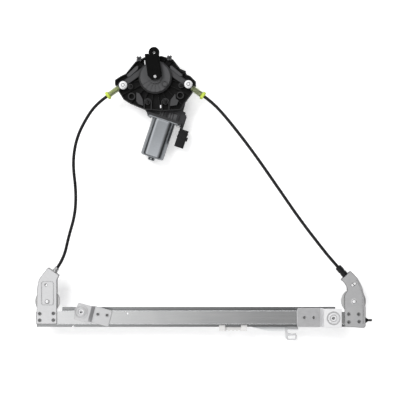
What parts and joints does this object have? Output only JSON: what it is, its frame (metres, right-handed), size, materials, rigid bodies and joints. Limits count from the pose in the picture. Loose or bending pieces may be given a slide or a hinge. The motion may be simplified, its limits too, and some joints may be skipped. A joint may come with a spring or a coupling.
{
  "type": "window regulator",
  "caption": "Cable window regulator: a straight guide rail with a sliding carriage, end pulleys and mounting pads, joined by two conduits to a drum driven by a worm gear motor.",
  "frame": {"origin": "the thread of the right rail mounting pad, at the pad's front face, which is the plane that bolts to the door", "axes": "+X along the rail towards the end with the rubber buffer, +Y across the rail towards the motor, +Z to the front, out of the threads that bolt it down"},
  "size_m": [0.5905, 0.5126, 0.0525],
  "materials": {
    "rail_steel": "bright zinc-coated strip, satin, rolled along its length",
    "bracket_steel": "zinc-coated pressing, cloudy satin",
    "strap_steel": "zinc-coated strap",
    "fastener_zinc": "bright zinc plate",
    "axle_steel": "ground steel",
    "housing_plastic": "glass-filled black moulding, slight sheen",
    "cover_plastic": "smooth matt black moulding",
    "connector_plastic": "black moulding",
    "motor_steel": "zinc-plated drawn can, satin",
    "conduit_sheath": "black extruded sheath",
    "sleeve_plastic": "black moulded sleeve",
    "socket_metal": "pressed light metal collar",
    "wire_rope": "stranded galvanised wire, greased",
    "pulley_plastic": "natural acetal moulding",
    "slider_plastic": "natural white acetal moulding",
    "clip_plastic": "translucent natural moulding",
    "tensioner_plastic": "bright yellow-green moulding",
    "spring_steel": "music wire",
    "wheel_plastic": "natural acetal moulding",
    "dog_zinc": "die-cast zinc",
    "rubber": "soft black rubber",
    "core_steel": "stacked steel laminations",
    "copper": "enamelled copper",
    "carbon": "pressed carbon",
    "bronze": "oil-filled sintered bronze",
    "ferrite": "sintered ferrite",
    "terminal_brass": "tinned brass blade"
  },
  "bodies": {
    "root": {"guide_rail": "rail_steel", "left_end_bracket": "bracket_steel", "right_end_bracket": "bracket_steel", "left_mount_bracket": "strap_steel", "right_mount_bracket": "strap_steel", "left_pulley_rivet": "fastener_zinc", "right_pulley_rivet": "fastener_zinc", "left_mount_nut": "fastener_zinc", "right_mount_nut": "fastener_zinc", "fixing_nuts": "fastener_zinc", "housing_screws": "fastener_zinc", "motor_screws": "fastener_zinc", "axle": "axle_steel", "drum_housing": "housing_plastic", "gearbox": "housing_plastic", "gearbox_cover": "housing_plastic", "bridge_cover": "cover_plastic", "connector": "connector_plastic", "brush_holder": "connector_plastic", "motor_can": "motor_steel", "motor_flange": "motor_steel", "left_conduit": "conduit_sheath", "right_conduit": "conduit_sheath", "right_conduit_sleeve": "sleeve_plastic", "left_conduit_socket": "socket_metal", "rail_cable": "wire_rope", "left_drum_cable": "wire_rope", "right_drum_cable": "wire_rope", "left_tensioner": "tensioner_plastic", "right_tensioner": "tensioner_plastic", "left_tensioner_spring": "spring_steel", "right_tensioner_spring": "spring_steel", "end_stop_buffer": "rubber", "brushes": "carbon", "shaft_bushes": "bronze", "magnets": "ferrite", "connector_terminals": "terminal_brass"},
    "carriage": {"slider": "slider_plastic", "cable_nipples": "wire_rope", "lift_plate": "strap_steel", "carriage_rivets": "fastener_zinc", "hook_clip": "clip_plastic"},
    "drum": {"cable_drum": "wheel_plastic", "cable_windings": "wire_rope", "worm_wheel": "wheel_plastic", "damper": "rubber", "drive_dog": "dog_zinc"},
    "armature": {"worm_shaft": "axle_steel", "armature_core": "core_steel", "armature_windings": "copper", "commutator": "copper"},
    "left_cable_pulley": {"left_pulley": "pulley_plastic"},
    "right_cable_pulley": {"right_pulley": "pulley_plastic"}
  },
  "joints": [
    {"name": "armature_spin", "type": "hinge", "parent": "root", "child": "armature", "pos_m": [-0.27499, 0.40835, -0.033], "axis": [-0.3156, -0.9489, 0], "range_deg": [-32633.7, 9964.5]},
    {"name": "drum_spin", "type": "hinge", "parent": "root", "child": "drum", "pos_m": [-0.31, 0.42, -0.017], "axis": [0, 0, 1], "range_deg": [-654.7, 201.3]},
    {"name": "carriage_slide", "type": "slide", "parent": "root", "child": "carriage", "axis": [1, 0, 0], "range_m": [-0.2625, 0.0805]},
    {"name": "left_pulley_spin", "type": "hinge", "parent": "root", "child": "left_cable_pulley", "pos_m": [-0.4993, 0.0282, -0.017], "axis": [0, 0, 1], "range_deg": [-771.8, 237.1]},
    {"name": "right_pulley_spin", "type": "hinge", "parent": "root", "child": "right_cable_pulley", "pos_m": [0.0375, 0.0282, -0.017], "axis": [0, 0, 1], "range_deg": [-771.8, 237.1]}
  ],
  "couplings": [
    {"joint": "drum_spin", "follows": "armature_spin", "ratio": 0.02},
    {"joint": "carriage_slide", "follows": "armature_spin", "m_per_rad": 0.00046},
    {"joint": "left_pulley_spin", "follows": "armature_spin", "ratio": 0.02359},
    {"joint": "right_pulley_spin", "follows": "armature_spin", "ratio": 0.02359}
  ]
}
